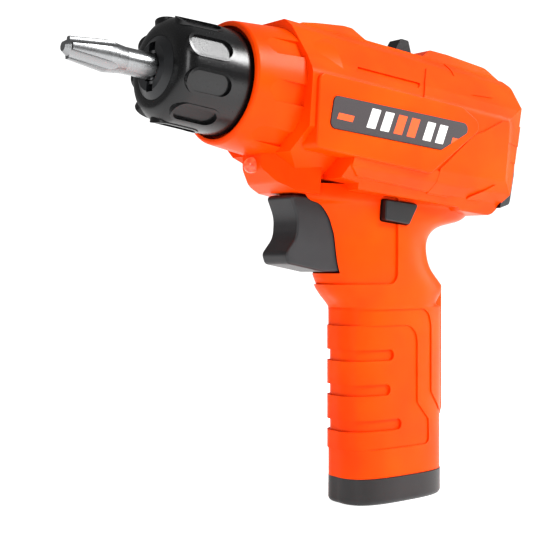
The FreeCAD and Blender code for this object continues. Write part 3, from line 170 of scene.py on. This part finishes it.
gear_nylon = moulded_plastic("natural_nylon_gears", "D9D6CA", "E4E2D8", 0.45, 0.6, 0.00003)
paint(gear_nylon, "lay_gear", "output_wheel")
board_brown = moulded_plastic("phenolic_board", "4A3018", "5C3D20", 0.55, 0.3, 0.00004)
paint(board_brown, "switch_board")
cell_wrap = moulded_plastic("printed_cell_wrap", "14171C", "22262D", 0.30, 0.8, 0.00001)
paint(cell_wrap, "cell_front", "cell_rear")


# ------------------------------------------------------------ side badges
# Thin plates glued in the side panels' recesses, printed dark grey with slanted bars in
# white and orange. The print is smooth and flat, so its colours stay even.

BARREL_HEIGHT = 0.131
BARREL_TILT = math.radians(4.8)
BAR_LEAN = 0.35
BAR_WIDTH = 0.0038
BAR_SPAN = (-0.0098, -0.0034)
WHITE_STARTS = (0.0245, 0.0185, -0.0010, -0.0070)
ORANGE_STARTS = (0.0125, 0.0065)

printed_badge, tree = blank_material("printed_badge_plate")
place = add(tree, "ShaderNodeTexCoord").outputs["Object"]
# a barrel frame: X runs forward along the barrel, and Z is square to it
turn = add(
    tree,
    "ShaderNodeMapping",
    {"vector_type": "TEXTURE"},
    {"Location": (0, 0, BARREL_HEIGHT), "Rotation": (0, -BARREL_TILT, 0)},
    {"Vector": place},
)
axes = add(tree, "ShaderNodeSeparateXYZ", links={"Vector": turn.outputs["Vector"]})
above = axes.outputs["Z"]
# the bars lean with their tops towards the rear
lean = add(tree, "ShaderNodeMath", {"operation": "MULTIPLY_ADD"}, {1: BAR_LEAN},
           {0: above, 2: axes.outputs["X"]}).outputs["Value"]


def within(value, low, high):
    """One where the value lies between two limits, else zero."""
    over = add(tree, "ShaderNodeMath", {"operation": "GREATER_THAN"}, {1: low}, {0: value})
    under = add(tree, "ShaderNodeMath", {"operation": "LESS_THAN"}, {1: high}, {0: value})
    limits = {0: over.outputs["Value"], 1: under.outputs["Value"]}
    both = add(tree, "ShaderNodeMath", {"operation": "MULTIPLY"}, links=limits)
    return both.outputs["Value"]


def printed(ground, code, bars):
    """Ground colour with bars of one ink; a bar is its start, width, low edge and high edge."""
    for start, width, low, high in bars:
        ink = add(
            tree,
            "ShaderNodeMath",
            {"operation": "MULTIPLY"},
            {},
            {0: within(lean, start, start + width), 1: within(above, low, high)},
        )
        # sockets 6 and 7 are the Mix node's two colours, and output 2 is its colour result
        mixed = add(tree, "ShaderNodeMix", {"data_type": "RGBA"}, {7: linear(code)},
                    {"Factor": ink.outputs["Value"], 6: ground})
        ground = mixed.outputs[2]
    return ground


# the print's dot screen is drawn 0.5 mm coarse so that it shows
SCREEN_SIZE = 0.0005
screen = add(tree, "ShaderNodeTexNoise", values={"Scale": 1 / SCREEN_SIZE, "Detail": 2.0},
             links={"Vector": place}).outputs["Fac"]
colour = tone_ramp(tree, screen, "322C2E", "423C3E", 0.0, 1.0)
colour = printed(colour, "F4F2F0", [(start, BAR_WIDTH, *BAR_SPAN) for start in WHITE_STARTS])
colour = printed(colour, "F4561C", [(start, BAR_WIDTH, *BAR_SPAN) for start in ORANGE_STARTS])
# a short dash at each end of the row
END_DASHES = [(0.0345, 0.0065, -0.0092, -0.0072), (-0.0165, 0.0058, -0.0088, -0.0068)]
colour = printed(colour, "F4561C", END_DASHES)
shader = add(tree, "ShaderNodeBsdfPrincipled", values={"Roughness": 0.42, "IOR": 1.5},
             links={"Base Color": colour})
join_surface(tree, shader)
paint(printed_badge, "side_badge_left", "side_badge_right")


# ------------------------------------------------------------ driver bit
# Cast and tumbled alloy, bright but not polished. The tumbling leaves small dents that
# make the highlight waver.

def metal(name, tint, roughness, mark_mm, depth):
    """Bare metal: marks of a given size and depth spread its highlight unevenly."""
    material, tree = blank_material(name)
    place = add(tree, "ShaderNodeTexCoord").outputs["Object"]
    marks = add(tree, "ShaderNodeTexNoise", values={"Scale": 1000 / mark_mm, "Detail": 4.0},
                links={"Vector": place}).outputs["Fac"]
    gloss = add(tree, "ShaderNodeMapRange",
                values={"To Min": roughness - 0.05, "To Max": roughness + 0.1}, links={"Value": marks})
    bump = add(tree, "ShaderNodeBump", values={"Strength": 0.2, "Distance": depth}, links={"Height": marks})
    shader = add(
        tree,
        "ShaderNodeBsdfPrincipled",
        values={"Metallic": 1.0, "Base Color": linear(tint)},
        links={"Roughness": gloss.outputs["Result"], "Normal": bump.outputs["Normal"]},
    )
    join_surface(tree, shader)
    return material


bit_silver = metal("silver_bit_cast_and_tumbled", "8E8F90", 0.26, 1.2, 0.000008)
paint(bit_silver, "driver_bit")


# ------------------------------------------------------------ screws, shafts and strips
# Steel screws, shafts and battery strips are nickel-plated, which keeps them bright and
# slightly warm. The springs and the bit's clip are bare drawn wire, a duller grey.

nickel = metal("nickel_plate_on_steel", "C6C3BC", 0.22, 0.4, 0.00001)
paint(nickel, "housing_screws", "cover_screw", "gearbox_screws", "battery_contact_front",
      "battery_contact_rear", "battery_link_plate", "output_spindle", "lay_axle", "motor_shaft")
spring_steel = metal("drawn_spring_wire", "9A9A9C", 0.30, 0.3, 0.00001)
paint(spring_steel, "bit_clip", "battery_spring_front", "battery_spring_rear", "trigger_spring")


# ------------------------------------------------------------ motor, brass and copper
# The motor's can is deep-drawn steel, zinc-plated to a soft grey with broad spangles. The
# pinion and bush are turned brass, and the contacts are stamped copper strip.

zinc = metal("zinc_plated_motor_steel", "B4B6B8", 0.34, 3.0, 0.00002)
paint(zinc, "motor_can", "motor_armature")
brass = metal("turned_brass", "D8AE5C", 0.26, 0.4, 0.00001)
paint(brass, "spindle_bush", "motor_pinion")
copper = metal("stamped_copper_strip", "D0875A", 0.32, 0.4, 0.00001)
paint(copper, "moving_contact", "fixed_contacts", "motor_terminals", "lamp_leads")


# ------------------------------------------------------------ lamp
# Round-headed lamp cast in red-tinted resin, lit, pushed into the hole under the nose. The
# resin is smooth, and the light inside it is uneven.

lamp_red, tree = blank_material("red_lamp_resin_lit")
place = add(tree, "ShaderNodeTexCoord").outputs["Object"]
CLOUD_SIZE = 0.0016
cloud = add(tree, "ShaderNodeTexNoise", values={"Scale": 1 / CLOUD_SIZE, "Detail": 1.0},
            links={"Vector": place}).outputs["Fac"]
shader = add(
    tree,
    "ShaderNodeBsdfPrincipled",
    values={"Base Color": linear("D81408"), "Roughness": 0.08, "IOR": 1.5, "Emission Strength": 2.2},
    links={"Emission Color": tone_ramp(tree, cloud, "F00A04", "FF5A3A", 0.0, 1.0)},
)
join_surface(tree, shader)
paint(lamp_red, "lamp_lens")


# ------------------------------------------------------------ floor
# A plain pale floor just under the drill. It glows a little, so that it meets the white
# surround without a line.

FLOOR_REACH = 2.5
FLOOR_DROP = 0.0001
corners = []
for x, y in ((-1, -1), (1, -1), (1, 1), (-1, 1)):
    corners.append((x * FLOOR_REACH, y * FLOOR_REACH, -FLOOR_DROP))
floor_mesh = bpy.data.meshes.new("floor")
floor_mesh.from_pydata(corners, [], [(0, 1, 2, 3)])
floor = bpy.data.objects.new("floor", floor_mesh)
bpy.context.scene.collection.objects.link(floor)
pale_floor, tree = blank_material("pale_floor")
shader = add(
    tree,
    "ShaderNodeBsdfPrincipled",
    values={
        "Base Color": linear("F4F4F4"),
        "Roughness": 0.7,
        "Emission Color": (1, 1, 1, 1),
        "Emission Strength": 0.75,
    },
)
join_surface(tree, shader)
floor_mesh.materials.append(pale_floor)


# ------------------------------------------------------------ light
# A white surround, which lights the drill less than it shows, and three soft boxes: one
# high at the rear left, one at the front and one low behind.

ROOM_LIGHT = 0.28
world = bpy.data.worlds.new("studio")
bpy.context.scene.world = world
world.use_nodes = True
background = world.node_tree.nodes["Background"]
background.inputs["Color"].default_value = (1, 1, 1, 1)
rays = add(world.node_tree, "ShaderNodeLightPath")
lit = add(world.node_tree, "ShaderNodeMapRange", values={"To Min": ROOM_LIGHT, "To Max": 1.0},
          links={"Value": rays.outputs["Is Camera Ray"]})
world.node_tree.links.new(lit.outputs["Result"], background.inputs["Strength"])


def soft_box(name, spot, width, height, watts):
    """Rectangular area light aimed at the middle of the drill."""
    middle = Vector((0.02, 0, 0.1))
    light = bpy.data.lights.new(name, "AREA")
    light.shape = "RECTANGLE"
    light.size = width
    light.size_y = height
    light.energy = watts
    holder = bpy.data.objects.new(name, light)
    holder.location = spot
    holder.rotation_mode = "QUATERNION"
    holder.rotation_quaternion = (middle - Vector(spot)).to_track_quat("-Z", "Y")
    bpy.context.scene.collection.objects.link(holder)


soft_box("key", (-0.45, 0.7, 0.8), 0.4, 0.4, 12.0)
soft_box("front_fill", (0.8, 0.6, 0.45), 0.3, 0.6, 2.5)
soft_box("rear_fill", (-0.8, 0.3, 0.35), 0.3, 0.6, 2.5)


# ------------------------------------------------------------ camera
# Level with half the drill's height, to its front left, looking straight ahead.

CAMERA_SPOT = (0.2739, 0.2766, 0.0801)
CAMERA_AIM = Vector((-0.6239, -0.7815, 0))
camera_data = bpy.data.cameras.new("camera")
camera_data.lens = 74.7
camera_data.sensor_width = 36.0
camera_data.clip_start = 0.01
camera = bpy.data.objects.new("camera", camera_data)
camera.location = CAMERA_SPOT
camera.rotation_mode = "QUATERNION"
camera.rotation_quaternion = CAMERA_AIM.to_track_quat("-Z", "Y")
bpy.context.scene.collection.objects.link(camera)
bpy.context.scene.camera = camera
bpy.context.scene.view_settings.view_transform = "Standard"
bpy.context.scene.view_settings.look = "Medium High Contrast"
